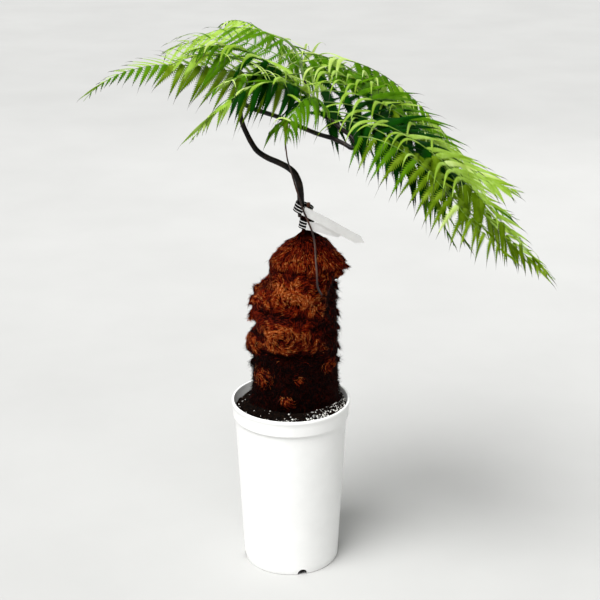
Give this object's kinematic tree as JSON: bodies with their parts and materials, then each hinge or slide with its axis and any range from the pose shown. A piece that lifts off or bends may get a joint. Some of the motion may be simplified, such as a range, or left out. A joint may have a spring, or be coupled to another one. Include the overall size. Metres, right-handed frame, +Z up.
{
  "type": "potted tree fern",
  "caption": "Young tree fern with a woolly trunk, a long bent black stalk and one broad arching green frond, in a tall slim white plastic pot.",
  "frame": {"origin": "middle of the pot's flat underside, on the surface that the pot stands on", "axes": "+Z up, +X to the right as the plant is seen from the front, +Y away from the front"},
  "size_m": [0.6054, 0.3757, 0.7433],
  "materials": {
    "pot_plastic": "satin",
    "potting_mix": "matte",
    "trunk_wool": "matte",
    "stalk": "satin",
    "young_stalk": "satin",
    "tag_film": "satin",
    "frond": "satin"
  },
  "bodies": {
    "root": {"pot": "pot_plastic", "soil": "potting_mix", "trunk": "trunk_wool", "stalk_lower": "stalk", "stalk_upper": "stalk", "main_rib": "stalk", "young_stalk": "young_stalk", "tag_upper": "tag_film", "tag_lower": "tag_film", "frond_left_1": "frond", "frond_left_2": "frond", "frond_left_3": "frond", "frond_left_4": "frond", "frond_left_5": "frond", "frond_tip": "frond", "frond_right_1": "frond", "frond_right_2": "frond", "frond_right_3": "frond", "frond_right_4": "frond", "frond_right_5": "frond", "frond_right_6": "frond", "frond_back_1": "frond", "frond_back_2": "frond", "frond_front": "frond", "frond_young": "frond"}
  },
  "joints": []
}
